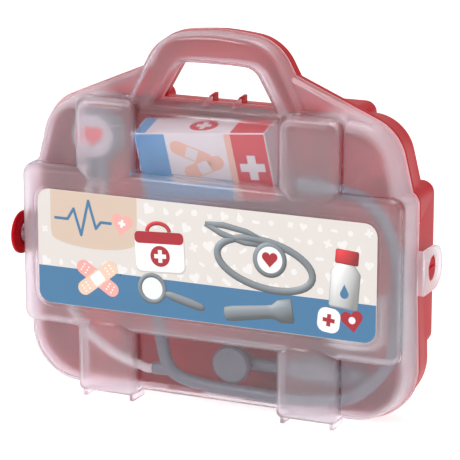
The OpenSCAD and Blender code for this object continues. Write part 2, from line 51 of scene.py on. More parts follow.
def makeCamera():
    data = bpy.data.cameras.new("photoCamera")
    data.lens, data.sensor_width = cameraSetup["lens"], cameraSetup["filmWidth"]
    data.clip_end = cameraSetup["farthest"]
    cam = bpy.data.objects.new("photoCamera", data)
    bpy.context.scene.collection.objects.link(cam)
    a, e = radians(cameraSetup["azimuth"]), radians(cameraSetup["elevation"])
    right = Vector((cos(a), sin(a), 0))
    ahead = Vector((-sin(a) * cos(e), cos(a) * cos(e), -sin(e)))
    up = right.cross(ahead)
    turn = Matrix((right, up, -ahead)).transposed().to_4x4()
    cam.matrix_world = Matrix.Translation(cameraSetup["place"]) @ turn
    bpy.context.scene.camera = cam


def makeStudio():
    scene = bpy.context.scene
    scene.view_settings.view_transform = "Standard"
    world = bpy.data.worlds.new("studioWorld")
    world.use_nodes = True
    scene.world = world
    back = world.node_tree.nodes["Background"]
    back.inputs["Color"].default_value = (1, 1, 1, 1)
    back.inputs["Strength"].default_value = studio["world"]
    for i, (place, size, power) in enumerate(studio["lamps"]):
        light = bpy.data.lights.new("softbox%d" % i, "AREA")
        light.size, light.energy = size, power
        lamp = bpy.data.objects.new("softbox%d" % i, light)
        lamp.location = place
        lamp.rotation_euler = (Vector(studio["aim"]) - Vector(place)).to_track_quat("-Z", "Y").to_euler()
        scene.collection.objects.link(lamp)
    mesh = bpy.data.meshes.new("floor")
    s = studio["floorHalf"]
    mesh.from_pydata([(-s, -s, 0), (s, -s, 0), (s, s, 0), (-s, s, 0)], [], [(0, 1, 2, 3)])
    floor = bpy.data.objects.new("floor", mesh)
    floor.location.z = -studio["floorDrop"]
    scene.collection.objects.link(floor)
    floor.data.materials.append(paint("floorPaint", studio["floor"], rough=0.8, mottle=0.01, grain=4,
                                      Emission_Color=(1, 1, 1, 1), Emission_Strength=studio["floorGlow"]))


# finishes: how the soft mottle and the fine moulded grain look, the same for every one
grainLook = {"cloudScale": 28, "cloudDetail": 3, "cloudEdges": (0.3, 0.7), "fineDetail": 2, "roughSpread": 0.12,
             "size": 0.0002}


# colour with a soft mottle, and a grain in roughness and bump
def paint(name, colour, rough=0.4, mottle=0.04, grain=900, bump=0.03, **sockets):
    mat = bpy.data.materials.new(name)
    mat.use_nodes = True
    tree = mat.node_tree
    shader = tree.nodes["Principled BSDF"]
    add, link = tree.nodes.new, tree.links.new
    spot = add("ShaderNodeTexCoord").outputs["Object"]
    clouds = add("ShaderNodeTexNoise")
    clouds.inputs["Scale"].default_value = grainLook["cloudScale"]
    clouds.inputs["Detail"].default_value = grainLook["cloudDetail"]
    link(spot, clouds.inputs["Vector"])
    ramp = add("ShaderNodeValToRGB")
    dark, pale = ramp.color_ramp.elements
    dark.position, pale.position = grainLook["cloudEdges"]
    dark.color = [part * (1 - mottle) for part in colour] + [1]
    pale.color = [min(1, part * (1 + mottle)) for part in colour] + [1]
    link(clouds.outputs["Fac"], ramp.inputs["Fac"])
    link(ramp.outputs["Color"], shader.inputs["Base Color"])
    fine = add("ShaderNodeTexNoise")
    fine.inputs["Scale"].default_value = grain
    fine.inputs["Detail"].default_value = grainLook["fineDetail"]
    link(spot, fine.inputs["Vector"])
    spread = add("ShaderNodeMapRange")
    spread.inputs["To Min"].default_value = rough * (1 - grainLook["roughSpread"])
    spread.inputs["To Max"].default_value = min(1, rough * (1 + grainLook["roughSpread"]))
    link(fine.outputs["Fac"], spread.inputs["Value"])
    link(spread.outputs["Result"], shader.inputs["Roughness"])
    relief = add("ShaderNodeBump")
    relief.inputs["Strength"].default_value = bump
    relief.inputs["Distance"].default_value = grainLook["size"]
    link(fine.outputs["Fac"], relief.inputs["Height"])
    link(relief.outputs["Normal"], shader.inputs["Normal"])
    for socket, value in sockets.items():
        shader.inputs[socket.replace("_", " ")].default_value = value
    return mat


# Only the flat fronts of the lid's plain walls are clear. Each line gives two places in metres, then the share of
# frost at both: depths for raised forms, side walls and the handle's sides, distances from the middle for the roof.
frost = {"raised": (-0.0275, -0.036, 0, 0.36), "sides": (-0.0257, -0.0232, 0, 1),
         "handleSides": (-0.0229, -0.0200, 0.14, 0.43), "roof": (0.078, 0.092, 0.21, 1),
         "handleFrom": (0.224, 0.232),  # heights between which the handle begins
         "transmission": (0.988, 0.78), "rough": (0.17, 0.70)}  # clear, then fully frosted


def frostRaised(mat):
    tree = mat.node_tree
    add, link = tree.nodes.new, tree.links.new
    shader = tree.nodes["Principled BSDF"]
    axes = add("ShaderNodeSeparateXYZ")
    link(add("ShaderNodeTexCoord").outputs["Object"], axes.inputs[0])

    def share(source, low, high, start=0, end=1):
        node = add("ShaderNodeMapRange")
        for name, value in (("From Min", low), ("From Max", high), ("To Min", start), ("To Max", end)):
            node.inputs[name].default_value = value
        link(source, node.inputs["Value"])
        return node.outputs["Result"]

    def worked(operation, first, second=None):
        node = add("ShaderNodeMath")
        node.operation = operation
        link(first, node.inputs[0])
        if second:
            link(second, node.inputs[1])
        return node.outputs[0]

    low = add("ShaderNodeMix")
    link(share(axes.outputs["Z"], *frost["handleFrom"]), low.inputs[0])
    outward = worked("ABSOLUTE", axes.outputs["X"])
    sides = worked("MULTIPLY", share(axes.outputs["Y"], *frost["sides"]), share(outward, *frost["roof"]))
    link(sides, low.inputs[2])
    link(share(axes.outputs["Y"], *frost["handleSides"]), low.inputs[3])
    top = worked("MAXIMUM", share(axes.outputs["Y"], *frost["raised"]), low.outputs[0])
    link(share(top, 0, 1, *frost["transmission"]), shader.inputs["Transmission Weight"])
    link(share(top, 0, 1, *frost["rough"]), shader.inputs["Roughness"])
    return mat


# clear plastic that lamps shine through
def letLampsThrough(mat, tint):
    tree = mat.node_tree
    add, link = tree.nodes.new, tree.links.new
    clear, mix, path = add("ShaderNodeBsdfTransparent"), add("ShaderNodeMixShader"), add("ShaderNodeLightPath")
    clear.inputs["Color"].default_value = (*tint, 1)
    link(path.outputs["Is Shadow Ray"], mix.inputs[0])
    link(tree.nodes["Principled BSDF"].outputs["BSDF"], mix.inputs[1])
    link(clear.outputs["BSDF"], mix.inputs[2])
    link(mix.outputs["Shader"], tree.nodes["Material Output"].inputs["Surface"])
    return mat


# print that takes its light and shade from the picture's own tone
def tonedPrint(name, colour):
    mat = paint(name, colour, rough=0.35, mottle=0.01, bump=0.02)
    tree = mat.node_tree
    shader = tree.nodes["Principled BSDF"]
    ink = shader.inputs["Base Color"].links[0].from_socket
    tone = tree.nodes.new("ShaderNodeAttribute")
    tone.attribute_name = "printTone"
    mix = tree.nodes.new("ShaderNodeMix")
    mix.data_type, mix.blend_type = "RGBA", "MULTIPLY"
    mix.inputs["Factor"].default_value = 1
    # sockets 6, 7 and 2 are its two colours and their product
    tree.links.new(ink, mix.inputs[6])
    tree.links.new(tone.outputs["Color"], mix.inputs[7])
    tree.links.new(mix.outputs[2], shader.inputs["Base Color"])
    return mat


toneGrey = tonedPrint("toneGrey", (0.33, 0.37, 0.40))
toneRed = tonedPrint("toneRed", (0.85, 0.05, 0.06))
toneWhite = tonedPrint("toneWhite", (0.95, 0.95, 0.94))
redPlastic = paint("redPlastic", (0.49, 0.004, 0.010), rough=0.34, mottle=0.05, bump=0.10, IOR=1.14)
lampTint = (0.94, 0.9, 0.93)
frostedPlastic = paint("frostedPlastic", (0.95, 0.895, 0.94), rough=0.25, mottle=0.01, bump=0.04,
                       IOR=1.22, Coat_Weight=0.4, Coat_Roughness=0.12)
letLampsThrough(frostRaised(frostedPlastic), lampTint)
frostedHasp = paint("frostedHasp", (0.96, 0.925, 0.955), rough=0.3, mottle=0.01, bump=0.04,
                    Transmission_Weight=0.78, IOR=1.3)
letLampsThrough(frostedHasp, lampTint)
greyPlastic = paint("greyPlastic", (0.125, 0.145, 0.165), rough=0.38, mottle=0.05, bump=0.08)
toyRed = paint("toyRed", (0.62, 0.015, 0.03), rough=0.25, mottle=0.03, bump=0.02)
chestWhite = paint("chestWhite", (0.40, 0.39, 0.405), rough=0.4, mottle=0.015, bump=0.03)
whitePlastic = paint("whitePlastic", (0.86, 0.86, 0.84), rough=0.35, mottle=0.015, bump=0.03)
softClear = paint("softClear", (0.86, 0.86, 0.84), rough=0.3, mottle=0.02, bump=0.02,
                  Transmission_Weight=0.5, IOR=1.35)
pinkClear = paint("pinkClear", (0.93, 0.35, 0.42), rough=0.15, mottle=0.02, bump=0.01,
                  Transmission_Weight=0.75, IOR=1.3)
cardPrint = paint("cardPrint", (0.765, 0.71, 0.67), rough=0.35, mottle=0.012, bump=0.02)
cardWhite = paint("cardWhite", (0.95, 0.935, 0.915), rough=0.35, mottle=0.01, bump=0.02)
cardBlue = paint("cardBlue", (0.062, 0.195, 0.365), rough=0.35, mottle=0.02, bump=0.02)
cardRed = paint("cardRed", (0.42, 0.012, 0.025), rough=0.35, mottle=0.02, bump=0.02)
cardPink = paint("cardPink", (0.90, 0.42, 0.38), rough=0.35, mottle=0.02, bump=0.02)
cardSkin = paint("cardSkin", (0.88, 0.62, 0.47), rough=0.35, mottle=0.02, bump=0.02)
cardBeige = paint("cardBeige", (0.70, 0.54, 0.43), rough=0.35, mottle=0.01, bump=0.02)
cardFaint = paint("cardFaint", (0.86, 0.83, 0.81), rough=0.35, mottle=0.01, bump=0.02)
cardPale = paint("cardPale", (0.88, 0.90, 0.91), rough=0.35, mottle=0.01, bump=0.02)
cardShade = paint("cardShade", (0.60, 0.57, 0.56), rough=0.35, mottle=0.01, bump=0.02)
boardWhite = paint("boardWhite", (0.72, 0.73, 0.72), rough=0.45, mottle=0.015, bump=0.05)
boardBlue = paint("boardBlue", (0.085, 0.33, 0.60), rough=0.45, mottle=0.02, bump=0.05)
boardRed = paint("boardRed", (0.60, 0.02, 0.035), rough=0.45, mottle=0.02, bump=0.05)
boardBeige = paint("boardBeige", (0.78, 0.50, 0.37), rough=0.45, mottle=0.02, bump=0.05)
print("finishes made")


# mesh helpers
def link(obj):
    bpy.context.scene.collection.objects.link(obj)
    return obj


def meshPiece(name, verts, faces, material=None):
    mesh = bpy.data.meshes.new(name)
    mesh.from_pydata([[side * mm for side in v] for v in verts], [], faces)
    bm = bmesh.new()
    bm.from_mesh(mesh)
    bmesh.ops.recalc_face_normals(bm, faces=bm.faces)
    bm.to_mesh(mesh)
    bm.free()
    piece = link(bpy.data.objects.new(name, mesh))
    if material:
        mesh.materials.append(material)
    return piece


def smoothByAngle(piece, angle=35):
    bpy.ops.object.select_all(action="DESELECT")
    piece.select_set(True)
    bpy.context.view_layer.objects.active = piece
    bpy.ops.object.shade_smooth_by_angle(angle=radians(angle))


def applyModifiers(piece):
    bpy.context.view_layer.update()
    shape = piece.evaluated_get(bpy.context.evaluated_depsgraph_get())
    mesh = bpy.data.meshes.new_from_object(shape)
    piece.modifiers.clear()
    piece.data = mesh


def bevel(piece, width, segments=2, angle=35):
    mod = piece.modifiers.new("softEdge", "BEVEL")
    mod.width, mod.segments = width * mm, segments
    mod.limit_method, mod.angle_limit = "ANGLE", radians(angle)
    mod.harden_normals = False
    applyModifiers(piece)


def combine(base, others, how):
    for other in others:
        mod = base.modifiers.new("join", "BOOLEAN")
        mod.operation, mod.solver, mod.object = how, "MANIFOLD", other
        applyModifiers(base)
        bpy.data.objects.remove(other)
    return base


# the moulded halves
case = {"bodyW": 302, "lidD": 21, "backD": 34, "wall": 2, "seamY": 5.25, "seamZ": 4.2, "cornerR": 40, "frontR": 8,
        "roofZ": 222.5, "shoulderR": 34, "shoulderX": 105.5, "seamGap": 0.3,
        "lowerUp": 60, "upperDown": 22, "upperFrontR": 10,
        # the raised band round the card, and the pillars above and below it
        "bandW": 299, "lidBandD": 33.5, "backBandD": 44, "bandZ0": 52, "bandZ1": 172, "bandR": 9,
        "pillarX": 79, "pillarW": 48, "pillarProud": 1.5, "pillarChamfer": 10, "chamferSteep": 0.75, "softR": 6,
        "lowPillarUp": 9, "lowPillarR": 4, "topPillarDown": 9.5, "topPillarUp": 2.5, "topPillarR": 8,
        # handle and the gables at its feet
        "handleTop": 275, "handleBar": 22.5, "handleSlim": 1.8, "handleLegX": 58.5, "handleSlant": 29, "handleBend": 24,
        "handleLidD": 18, "handleBackD": 14.5, "handleSink": 9, "crownA": 84,
        "gableD": 9, "gableA": 67, "gableRise": 18, "gableIn": 3, "gableSink": 6, "gableSoft": 1.5,
        # how far the walls lean in from the seam to the front, and how the upper form narrows (degrees)
        "sideDraft": 2.6, "baseDraft": 0.5, "upperDraft": 2.4, "bandDraft": 2, "sideTaper": 2, "upperLean": 13.65,
        # rim round the seam; the forms start behind it, and feet and ribs are fins
        "rimW": 1, "rimD": 2.5, "rimSoft": 0.4, "behind": -1,
        "finT": 2.4, "footFrom": 10, "footBack": 5, "ribX": 11.3, "ribShift": 2.5,
        "weld": 0.01, "edgeSoft": 0.55}
c = case
bodyZ = c["seamZ"] + 0.4


def cosd(a):
    return cos(radians(a))


def sind(a):
    return sin(radians(a))


def arc(x, z, r, a0, a1, n=16):
    return [(x + r * cosd(a0 + (a1 - a0) * i / n), z + r * sind(a0 + (a1 - a0) * i / n)) for i in range(n + 1)]


def both(points):
    return points + [(-x, z) for x, z in reversed(points)]


def lowerForm(g, t):
    w, z, r = c["bodyW"] / 2 - g - c["sideDraft"] * t, bodyZ + g + c["baseDraft"] * t, c["cornerR"] - g
    return both(arc(w - r, z + r, r, -90, 0, 24) + [(w - c["sideTaper"], c["bandZ0"] + c["lowerUp"])])


def upperForm(g, t):
    r, z, top = c["shoulderR"] - g - c["upperDraft"] * t, c["bandZ1"] - c["upperDown"], c["roofZ"] - c["shoulderR"]
    foot = (c["shoulderX"] + r / cosd(c["upperLean"]) + (top - z) * tan(radians(c["upperLean"])), z)
    return both([foot] + arc(c["shoulderX"], top, r, c["upperLean"], 90, 20))


def bandForm(g, t):
    w, r = c["bandW"] / 2 - g - c["bandDraft"] * t, max(c["bandR"] - g, 1)
    z0, z1 = c["bandZ0"] + g, c["bandZ1"] - g
    return both(arc(w - r, z0 + r, r, -90, 0, 10) + arc(w - r, z1 - r, r, 0, 90, 10))


def lowPillarForm(g, t):
    w, k, z0 = c["pillarW"] / 2 - g - t, c["pillarChamfer"] - g / 2, c["seamZ"] + g + c["baseDraft"] * t
    z1, r = c["bandZ0"] + c["lowPillarUp"] - g, c["lowPillarR"]
    return both(arc(w - r, z0 + r, r, -90, 0, 6) + [(w, z1 - c["chamferSteep"] * k), (w - k, z1)])


def topPillarForm(g, t):
    w, k, z0 = c["pillarW"] / 2 - g - t, c["pillarChamfer"] - g / 2, c["bandZ1"] - c["topPillarDown"] + g
    z1, r = c["roofZ"] + c["topPillarUp"] - 2 * g, c["topPillarR"] - g / 2
    return both([(w - k, z0), (w, z0 + k)] + arc(w - r, z1 - r, r, 0, 90, 8))


def legX(z):
    return c["handleLegX"] - (z - c["roofZ"]) * tan(radians(c["handleSlant"]))


gableFoot = (c["shoulderX"] + c["shoulderR"] * cosd(c["gableA"]),
             c["roofZ"] - c["shoulderR"] + c["shoulderR"] * sind(c["gableA"]))
gableRun = gableFoot[0] - legX(c["roofZ"] + c["gableRise"])
gableTop = (gableFoot[0] - gableRun, gableFoot[1] + gableRun * tan(radians(90 - c["gableA"])))


def gableForm(g):
    low = c["roofZ"] - c["gableSink"]
    return [(legX(c["roofZ"]) + c["gableIn"], low), (gableFoot[0] - g, low),
            (gableFoot[0] - g * cosd(c["gableA"]), gableFoot[1] - g * sind(c["gableA"])),
            (gableTop[0], gableTop[1] - g), (legX(gableTop[1]), gableTop[1] - g)]


# middle line of the handle: leg, bend, then a slight crown over the middle
crownK = (1 - sind(c["crownA"])) / cosd(c["crownA"])
slantTan = tan(radians(c["handleSlant"]))
bendReach = legX(0) - c["handleBend"] / cosd(c["handleSlant"])
bendZ = (c["handleTop"] - c["handleBar"] / 2 - c["handleBend"] - crownK * bendReach) / (1 - crownK * slantTan)
bendX = bendReach - bendZ * slantTan
crownR = bendX / cosd(c["crownA"])


# outline of the handle: its middle line widened by half the bar, less g; it has no draft, so t is not used
def handleForm(g, t):
    s, top, steps = c["handleSlant"], c["roofZ"] - c["handleSink"], 14
    line = [(legX(top), top, s)]
    for i in range(steps + 1):
        a = s + (c["crownA"] - s) * i / steps
        line.append((bendX + c["handleBend"] * cosd(a), bendZ + c["handleBend"] * sind(a), a))
    r = c["handleBend"] + crownR
    for a in range(c["crownA"] + 1, 91):
        line.append((bendX - crownR * cosd(c["crownA"]) + r * cosd(a),
                     bendZ - crownR * sind(c["crownA"]) + r * sind(a), a))
    outer, inner = [], []
    for x, z, a in line:
        r = c["handleBar"] / 2 - c["handleSlim"] * min(1, abs(x) / c["handleLegX"]) - g
        outer.append((x + r * cosd(a), z + r * sind(a)))
        inner.append((x - r * cosd(a), z - r * sind(a)))
    inner[-1] = (0, inner[-1][1])
    outer[-1] = (0, outer[-1][1])
    left = [(-x, z) for x, z in reversed(outer[:-1])]
    return outer + left + [(-x, z) for x, z in inner] + list(reversed(inner[:-1]))


# solid through rings of one point count; each ring comes with its depth from the seam, and flip -1 turns it to
# the back half
def loft(name, rings, flip=1):
    verts = [(x, flip * -d - c["seamY"], z) for ring, d in rings for x, z in ring]
    n = len(rings[0][0])
    faces = [list(range(n))]
    for i in range(len(rings) - 1):
        faces += [(i * n + j, i * n + n + j, i * n + n + (j + 1) % n, i * n + (j + 1) % n) for j in range(n)]
    last = (len(rings) - 1) * n
    faces.append([last + j for j in reversed(range(n))])
    return meshPiece(name, verts, faces)


# rings of a form that is g smaller all round, with walls that lean in and a rounded front edge
def moulded(form, d, edge, g, start, shift=0, steps=6):
    rings = [(form(g, 0), start), (form(g, 1), d - edge)]
    for i in range(1, steps + 1):
        a = 90 * i / steps
        rings.append((form(g + edge * (1 - cosd(a)), 1), d - edge + edge * sind(a)))
    return [([(x + shift, z) for x, z in ring], depth) for ring, depth in rings]


# all forms of one half, g smaller all round: the outside with g = 0, the hollow with the wall
def halfForms(g, plainD, raisedD, handleD, start):
    pillarD = raisedD + c["pillarProud"]
    forms = [moulded(lowerForm, plainD - g, c["frontR"] - g, g, start),
             moulded(upperForm, plainD - g, c["upperFrontR"] - g, g, start),
             moulded(bandForm, raisedD - g, c["frontR"] - g, g, start)]
    for s in (-1, 1):
        forms.append(moulded(lowPillarForm, pillarD - g, c["softR"] - g, g, start, s * c["pillarX"]))
        forms.append(moulded(topPillarForm, pillarD - g, c["softR"] - g, g, start, s * c["pillarX"]))
        ring = [(s * x, z) for x, z in gableForm(g)]
        top = [(s * x, z) for x, z in gableForm(g + 1)]
        forms.append([(ring, start), (ring, c["gableD"] - g - c["gableSoft"]), (top, c["gableD"] - g)])
    forms.append(moulded(handleForm, handleD - g, c["softR"] - g, g, start))
    return forms


def rimForms():
    g = -c["rimW"]
    flat = [lowerForm(g, 0), upperForm(g, 0), bandForm(g, 0), handleForm(g, 0)]
    flat += [[(s * x, z) for x, z in gableForm(g)] for s in (-1, 1)]
    return [[(ring, c["behind"]), (ring, c["rimD"] - c["rimSoft"]), (ring, c["rimD"])] for ring in flat]


def slab(name, low, high):
    (x0, y0, z0), (x1, y1, z1) = low, high
    verts = [(x, y, z) for z in (z0, z1) for y in (y0, y1) for x in (x0, x1)]
    faces = [(0, 1, 3, 2), (4, 6, 7, 5), (0, 4, 5, 1), (2, 3, 7, 6), (0, 2, 6, 4), (1, 5, 7, 3)]
    return meshPiece(name, verts, faces)


# ends and sides of a prism whose two rings of n points follow each other
def prismFaces(n):
    ends = [list(range(n)), list(reversed(range(n, 2 * n)))]
    return ends + [(j, j + n, (j + 1) % n + n, (j + 1) % n) for j in range(n)]


# block with one outline (y, z) all the way from x0 to x1
def prismX(name, x0, x1, ring, material=None):
    verts = [(x0, y, z) for y, z in ring] + [(x1, y, z) for y, z in ring]
    return meshPiece(name, verts, prismFaces(len(ring)), material)


# fin across the case, its points as depth and height
def fin(x, points, flip):
    return prismX("fin", x - c["finT"] / 2, x + c["finT"] / 2, [(flip * -d - c["seamY"], z) for d, z in points])


# one moulded half: shell of all forms, rim, feet and roof ribs, hollowed, then cut flat along the seam
def caseHalf(name, flip, plainD, raisedD, handleD, footX, ribD, ribEnd):
    outer = [loft("part", rings, flip) for rings in halfForms(0, plainD, raisedD, handleD, c["behind"])]
    shell = combine(outer[0], outer[1:], "UNION")
    rims = [loft("rim", rings, flip) for rings in rimForms()]
    rim = combine(rims[0], rims[1:], "UNION")
    below = slab("cut", (-200, -50, -50), (200, 50, c["seamZ"] + 0.1))  # everything under the case's foot
    rim = combine(rim, [below], "DIFFERENCE")
    front, top = raisedD + c["pillarProud"] - c["footBack"], c["roofZ"]
    foot = [(c["footFrom"], 0), (front - 1, 0), (front, 1), (front, c["seamZ"] + 5), (c["footFrom"], c["seamZ"] + 1)]
    feet = [fin(s * c["pillarX"] + k * footX, foot, flip) for s in (-1, 1) for k in (-1, 1)]
    rib = [(c["behind"], top - 1), (ribD, top - 1), (ribD, top + ribEnd), (c["behind"], top + 4.5)]
    ribs = [fin(s * c["ribX"] + c["ribShift"], rib, flip) for s in (-1, 1)]
    shell = combine(shell, [rim] + feet + ribs, "UNION")
    inner = [loft("part", rings, flip) for rings in halfForms(c["wall"], plainD, raisedD, handleD, 2 * c["behind"])]
    hollow = combine(inner[0], inner[1:], "UNION")
    shell = combine(shell, [hollow], "DIFFERENCE")
    near, far = sorted((flip * -c["seamGap"] / 2 - c["seamY"], flip * 12 - c["seamY"]))
    beyond = slab("cut", (-200, near, -5), (200, far, 300))  # everything past the seam
    shell = combine(shell, [beyond], "DIFFERENCE")
    shell.name = name
    return shell


# welds and flattens what the joining left, softens the edges and gives the finish
def finishShell(shell, material):
    bm = bmesh.new()
    bm.from_mesh(shell.data)
    bmesh.ops.remove_doubles(bm, verts=bm.verts, dist=c["weld"] * mm)
    bmesh.ops.dissolve_limit(bm, angle_limit=radians(0.3), verts=bm.verts, edges=bm.edges)
    bm.to_mesh(shell.data)
    bm.free()
    bevel(shell, c["edgeSoft"], 2, 38)
    shell.data.materials.clear()
    shell.data.materials.append(material)
    smoothByAngle(shell, 40)


# moulded line that frames the card
cardFrame = {"w": 265, "h": 86, "r": 9.5, "z": 112, "near": 2.4, "far": 3.6, "proud": 0.7}


def makeCardFrame():
    f = cardFrame

    def block(g, low, high):
        w, h, r = f["w"] / 2 + g, f["h"] / 2 + g, f["r"] + g
        ring = both(arc(w - r, f["z"] - h + r, r, -90, 0, 12) + arc(w - r, f["z"] + h - r, r, 0, 90, 12))
        return loft("frame", [(ring, low), (ring, high)])

    front = c["lidBandD"]
    line = block(f["far"], front - 0.4, front + f["proud"])
    return combine(line, [block(f["near"], front - 2, front + 2)], "DIFFERENCE")


lid = caseHalf("frostedLid", 1, c["lidD"], c["lidBandD"], c["handleLidD"], footX=19, ribD=13, ribEnd=0.5)
lid = combine(lid, [makeCardFrame()], "UNION")
lid.name = "frostedLid"
finishShell(lid, frostedPlastic)
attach(lid, "case_lid")
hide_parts("lid_shell")
back = caseHalf("redBack", -1, c["backD"], c["backBandD"], c["handleBackD"], footX=15, ribD=10, ribEnd=5.5)
finishShell(back, redPlastic)
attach(back, "case_back")
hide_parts("back_shell")
print("halves made", len(lid.data.polygons), len(back.data.polygons))

# printed card: plain fields and small pictures of a nursery sick bay
card = {"w": 265, "h": 86, "r": 9.5, "z": 112, "y": -33.9 - c["seamY"], "layer": 0.012, "thick": 0.008,
        "blueTop": 97.2, "blueInset": 0.25, "tabW": 35, "tabX": -87, "tabFoot": 113.5, "tabRound": 8.5, "tabTop": 154.7}


# flat print on the card, so many layers above it
def plate(name, outline, material, layer):
    y = card["y"] - card["layer"] * layer
    verts = [(x, y, z) for x, z in outline] + [(x, y + card["thick"], z) for x, z in outline]
    return meshPiece(name, verts, prismFaces(len(outline)), material)


def disc(x, z, r, n=28):
    return [(x + r * cos(2 * pi * i / n), z + r * sin(2 * pi * i / n)) for i in range(n)]


def turned(points, x, z, turn=0, size=1):
    return [(x + size * (u * cosd(turn) - v * sind(turn)), z + size * (u * sind(turn) + v * cosd(turn)))
            for u, v in points]


def roundBar(l, w, n=8):
    h = l / 2 - w / 2
    return arc(h, 0, w / 2, -90, 90, n) + arc(-h, 0, w / 2, 90, 270, n)


def roundBox(w, h, r, n=5):
    a, b = w / 2 - r, h / 2 - r
    right = arc(a, -b, r, -90, 0, n) + arc(a, b, r, 0, 90, n)
    return right + arc(-a, b, r, 90, 180, n) + arc(-a, -b, r, 180, 270, n)


plusShape = [(-1, -3), (1, -3), (1, -1), (3, -1), (3, 1), (1, 1), (1, 3), (-1, 3), (-1, 1), (-3, 1), (-3, -1), (-1, -1)]
heartShape = [(0, -4)] + arc(1.9, 1.2, 2.1, -38, 150, 10) + [(0, 1.9)] + arc(-1.9, 1.2, 2.1, 30, 218, 10)
dropShape = arc(0, -1, 2.2, -205, 25, 12) + [(0, 4)]


def joined(name, pieces, body="case_lid"):
    bpy.ops.object.select_all(action="DESELECT")
    for p in pieces:
        p.select_set(True)
    bpy.context.view_layer.objects.active = pieces[0]
    if len(pieces) > 1:
        bpy.ops.object.join()
    whole = pieces[0]
    whole.name = whole.data.name = name
    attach(whole, body)
    return whole


# blue field along the bottom and beige tab that hangs from the top edge
def printFields():
    w, h, r = (card[k] - card["blueInset"] * n for k, n in (("w", 2), ("h", 2), ("r", 1)))
    blue = both(arc(w / 2 - r, card["z"] - h / 2 + r, r, -90, 0, 10) + [(w / 2, card["blueTop"])])
    w, foot, dip = card["tabW"], card["tabFoot"], card["tabRound"]
    tab = both([(0, foot)] + [(w * sind(a), foot + dip * (1 - cosd(a))) for a in (15, 30, 45, 60, 75)]
               + [(w, foot + 12.5), (w, card["tabTop"])])
    tab = [(x + card["tabX"], z) for x, z in tab]
    joined("cardFields", [plate("blueField", blue, cardBlue, 1), plate("beigeTab", tab, cardBeige, 1)])


# faint sick-bay signs on the cream ground, on a jittered lattice that leaves out the tab
ground = {"rows": 5, "columns": 22, "x": -126, "z": 101.5, "stepX": 12, "stepZ": 11.6, "jitterX": 1.6, "jitterZ": 1.4,
          "size": (0.75, 1.15), "spin": 40, "edgeX": 127, "edgeZ": 151, "tab": (-125, -50, 110)}


def printGround():
    g, signs, k = ground, [], 0
    shapes = [plusShape, heartShape, dropShape, roundBar(7, 2.6), disc(0, 0, 2.4)]
    left, right, low = g["tab"]
    for row in range(g["rows"]):
        for col in range(g["columns"]):
            x = g["x"] + col * g["stepX"] + (row % 2) * g["stepX"] / 2 + random.uniform(-g["jitterX"], g["jitterX"])
            z = g["z"] + row * g["stepZ"] + random.uniform(-g["jitterZ"], g["jitterZ"])
            size, spin = random.uniform(*g["size"]), random.uniform(-g["spin"], g["spin"])
            k += 1
            if abs(x) > g["edgeX"] or z > g["edgeZ"] or (left < x < right and z > low):
                continue
            signs.append(plate("sign", turned(shapes[k % 5], x, z, spin, size), cardFaint, 1))
    joined("cardSigns", signs)


# a small picture modelled in the round, shaded from the upper left, then pressed flat on the card
pictureTone = {"light": Vector((-0.45, -0.6, 0.66)), "press": 0.003,
               "shade": 0.30, "lit": 0.62, "gleam": 0.5, "gleamPower": 14}


def picture(name, parts, place, layer, material):
    x, z, turn, size = place
    bm = bmesh.new()
    for verts, faces in parts:
        made = [bm.verts.new(v) for v in verts]
        for f in faces:
            bm.faces.new([made[i] for i in f])
    bmesh.ops.recalc_face_normals(bm, faces=bm.faces)
    bm.normal_update()
    tone = bm.verts.layers.float_color.new("printTone")
    spin = Matrix.Rotation(-radians(turn), 3, "Y")
    look, lightDir = pictureTone, pictureTone["light"].normalized()
    for v in bm.verts:
        d = max(0, (spin @ v.normal).dot(lightDir))
        t = look["shade"] + look["lit"] * d + look["gleam"] * d ** look["gleamPower"]
        v[tone] = (t, t, t, 1)
    front = min(v.co.y for v in bm.verts)
    for v in bm.verts:
        p = spin @ v.co
        y = card["y"] - card["layer"] * layer + (v.co.y - front) * look["press"]
        v.co = Vector((x + size * p.x, y, z + size * p.z)) * mm
    mesh = bpy.data.meshes.new(name)
    bm.to_mesh(mesh)
    bm.free()
    mesh.materials.append(material)
    for poly in mesh.polygons:
        poly.use_smooth = True
    return link(bpy.data.objects.new(name, mesh))


# surface of revolution about +X, profile as (x, r), tilted up round Y
def turnedPart(profile, tilt=0, n=20):
    verts, faces = [], []
    for u, r in profile:
        for j in range(n):
            a = 2 * pi * j / n
            v = r * sin(a)
            verts.append((u * cosd(tilt) - v * sind(tilt), r * cos(a), u * sind(tilt) + v * cosd(tilt)))
    for i in range(len(profile) - 1):
        faces += [(i * n + j, i * n + (j + 1) % n, i * n + n + (j + 1) % n, i * n + n + j) for j in range(n)]
    faces.append(list(range(n)))
    faces.append(list(range((len(profile) - 1) * n, len(profile) * n)))
    return verts, faces


# tube along points, radius r or one for each point
def tubePart(points, r, n=12, closed=False):
    verts, faces, m = [], [], len(points)
    points = [Vector(p) for p in points]
    for i, p in enumerate(points):
        a = points[(i - 1) % m] if closed or i else p
        b = points[(i + 1) % m] if closed or i < m - 1 else p
        way = (b - a).normalized()
        u = way.cross(Vector((0, 1, 0))).normalized()
        v = u.cross(way)
        k = r[i] if isinstance(r, list) else r
        verts += [tuple(p + k * (cos(2 * pi * j / n) * u + sin(2 * pi * j / n) * v)) for j in range(n)]
    for i in range(m if closed else m - 1):
        q = (i + 1) % m
        faces += [(i * n + j, i * n + (j + 1) % n, q * n + (j + 1) % n, q * n + j) for j in range(n)]
    if not closed:
        faces += [list(range(n)), list(range((m - 1) * n, m * n))]
    return verts, faces


# ellipse round the origin, a wide and b high, up to the angle end
def loopPoints(a, b, end=360, n=40):
    turns = [radians(end * i / n) for i in range(n + (end < 360))]
    return [(a * cos(t), 0, b * sin(t)) for t in turns]


